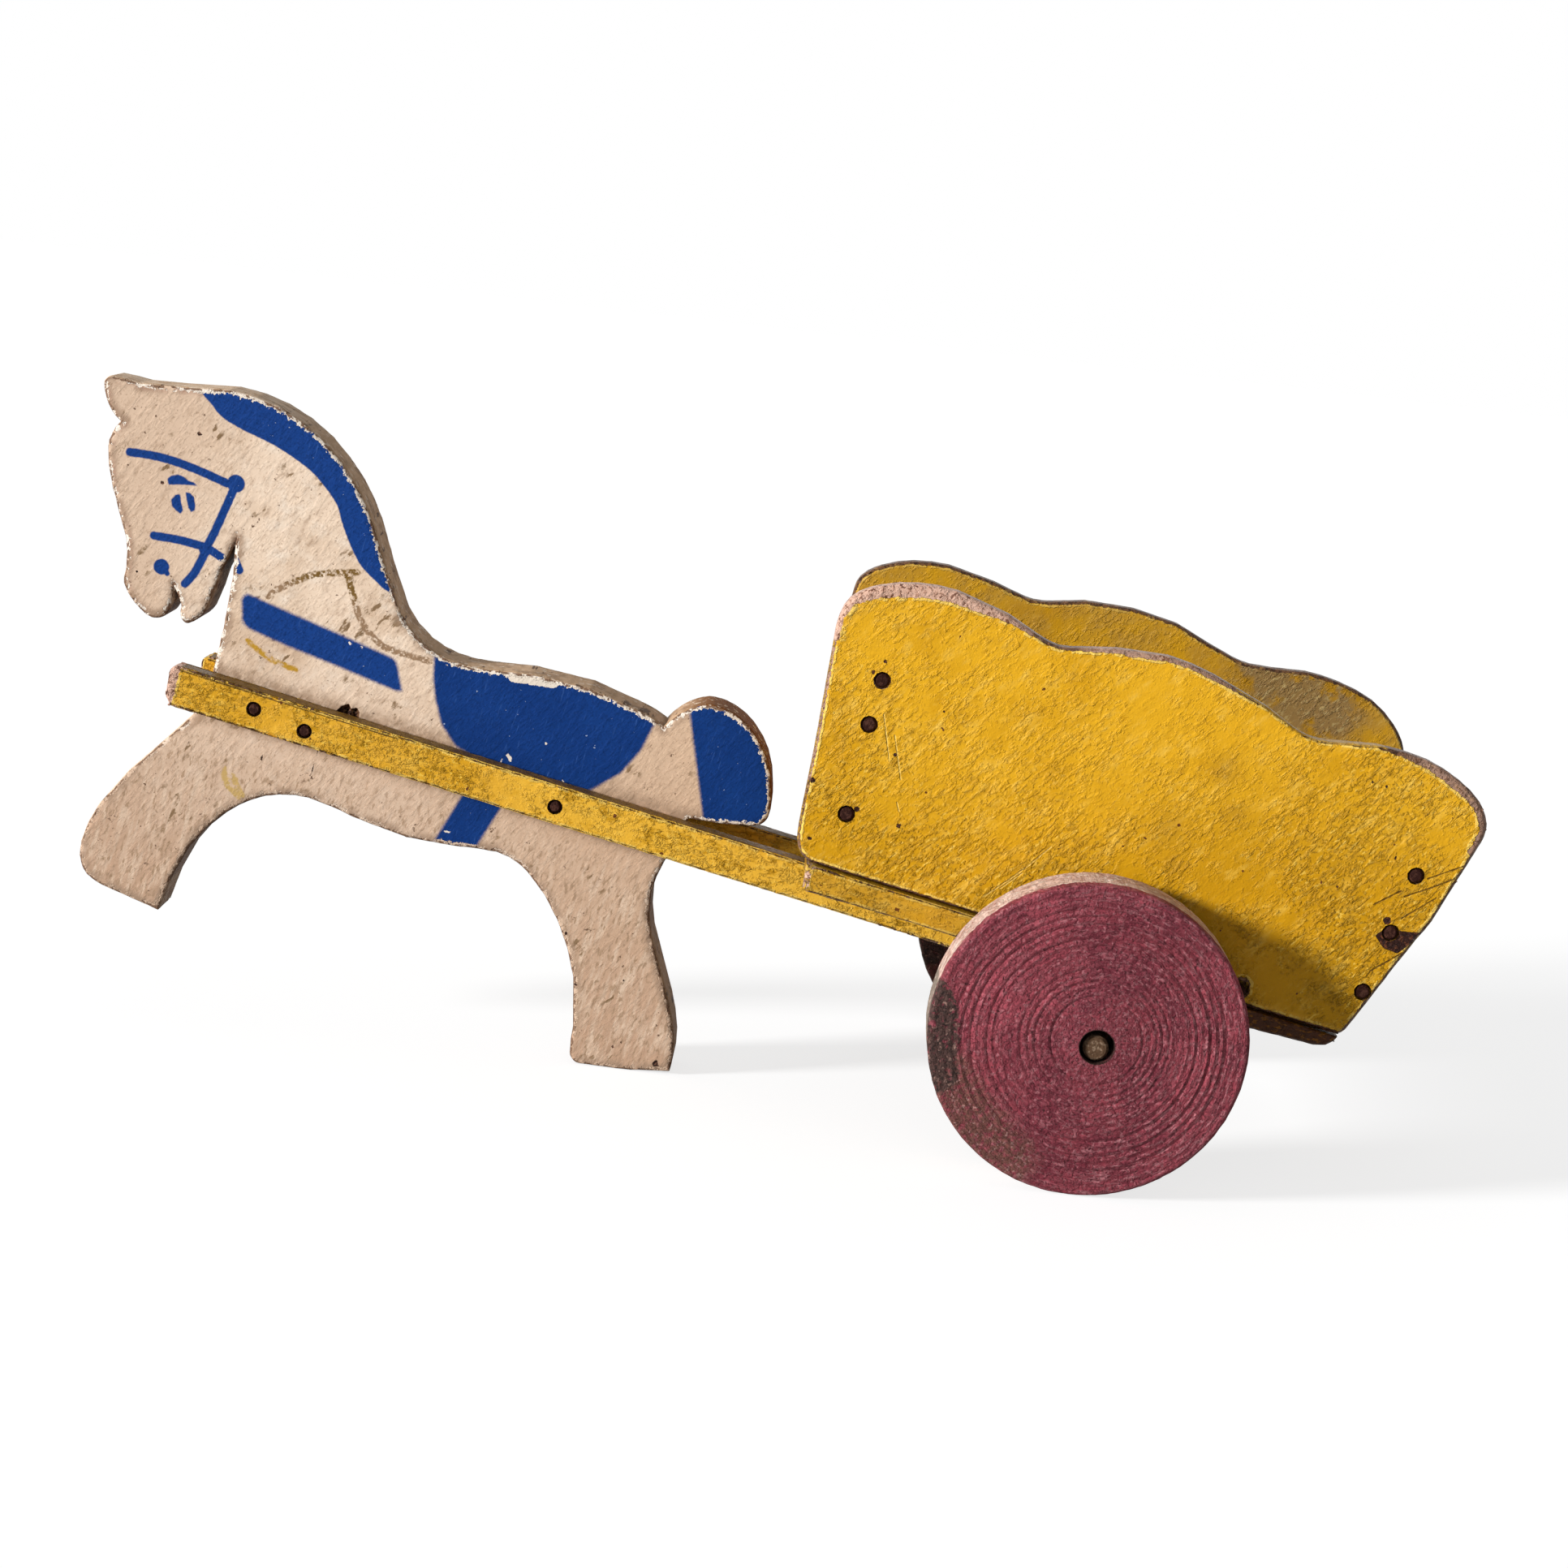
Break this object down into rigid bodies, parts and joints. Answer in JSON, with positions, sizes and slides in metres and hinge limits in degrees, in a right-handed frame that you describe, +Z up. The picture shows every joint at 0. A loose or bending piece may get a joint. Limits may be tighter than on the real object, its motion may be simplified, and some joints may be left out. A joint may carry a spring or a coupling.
{
  "type": "horse cart pull toy",
  "caption": "Flat wooden horse between two shafts of a small open cart with wavy-topped sides, a plank floor and solid wooden wheels loose on an iron axle rod.",
  "frame": {"origin": "middle of the bounding box's underside, on the ground that the wheels and the hind hoof stand on", "axes": "+X towards the cart's rear, with the horse facing -X, +Y to the horse's right, +Z up; the toy stands nose up, tilted about Y"},
  "size_m": [0.293, 0.1124, 0.1374],
  "materials": {
    "cream_paint": "worn cream paint on wood",
    "yellow_paint": "thick brushed yellow paint on wood",
    "crimson_dye": "matt crimson stain on turned wood",
    "bare_wood": "bare sawn wood",
    "rusty_iron": "dark rust"
  },
  "bodies": {
    "toy": {"horse_body": "cream_paint", "shaft_left": "yellow_paint", "shaft_right": "yellow_paint", "cart_side_left": "yellow_paint", "cart_side_right": "yellow_paint", "cart_front_board": "yellow_paint", "cart_rear_board": "yellow_paint", "cart_floor": "yellow_paint", "axle_block": "bare_wood", "axle_rod": "rusty_iron", "shaft_nail_left_1": "rusty_iron", "shaft_nail_left_2": "rusty_iron", "shaft_nail_left_3": "rusty_iron", "front_nail_left_1": "rusty_iron", "front_nail_left_2": "rusty_iron", "front_nail_left_3": "rusty_iron", "rear_nail_left_1": "rusty_iron", "rear_nail_left_2": "rusty_iron", "rear_nail_left_3": "rusty_iron", "edge_nail_left": "rusty_iron", "floor_nail_left_1": "rusty_iron", "floor_nail_left_2": "rusty_iron", "shaft_nail_right_1": "rusty_iron", "shaft_nail_right_2": "rusty_iron", "shaft_nail_right_3": "rusty_iron", "front_nail_right_1": "rusty_iron", "front_nail_right_2": "rusty_iron", "front_nail_right_3": "rusty_iron", "rear_nail_right_1": "rusty_iron", "rear_nail_right_2": "rusty_iron", "rear_nail_right_3": "rusty_iron", "edge_nail_right": "rusty_iron", "floor_nail_right_1": "rusty_iron", "floor_nail_right_2": "rusty_iron", "block_nail_1": "rusty_iron", "block_nail_2": "rusty_iron", "block_nail_3": "rusty_iron"},
    "left_wheel": {"wheel_left": "crimson_dye"},
    "right_wheel": {"wheel_right": "crimson_dye"}
  },
  "joints": [
    {"name": "left_wheel_spin", "type": "hinge", "parent": "toy", "child": "left_wheel", "pos_m": [0.07265, -0.0497, 0.03145], "axis": [0, 1, 0], "continuous": true},
    {"name": "right_wheel_spin", "type": "hinge", "parent": "toy", "child": "right_wheel", "pos_m": [0.07265, 0.0497, 0.03145], "axis": [0, 1, 0], "continuous": true}
  ]
}
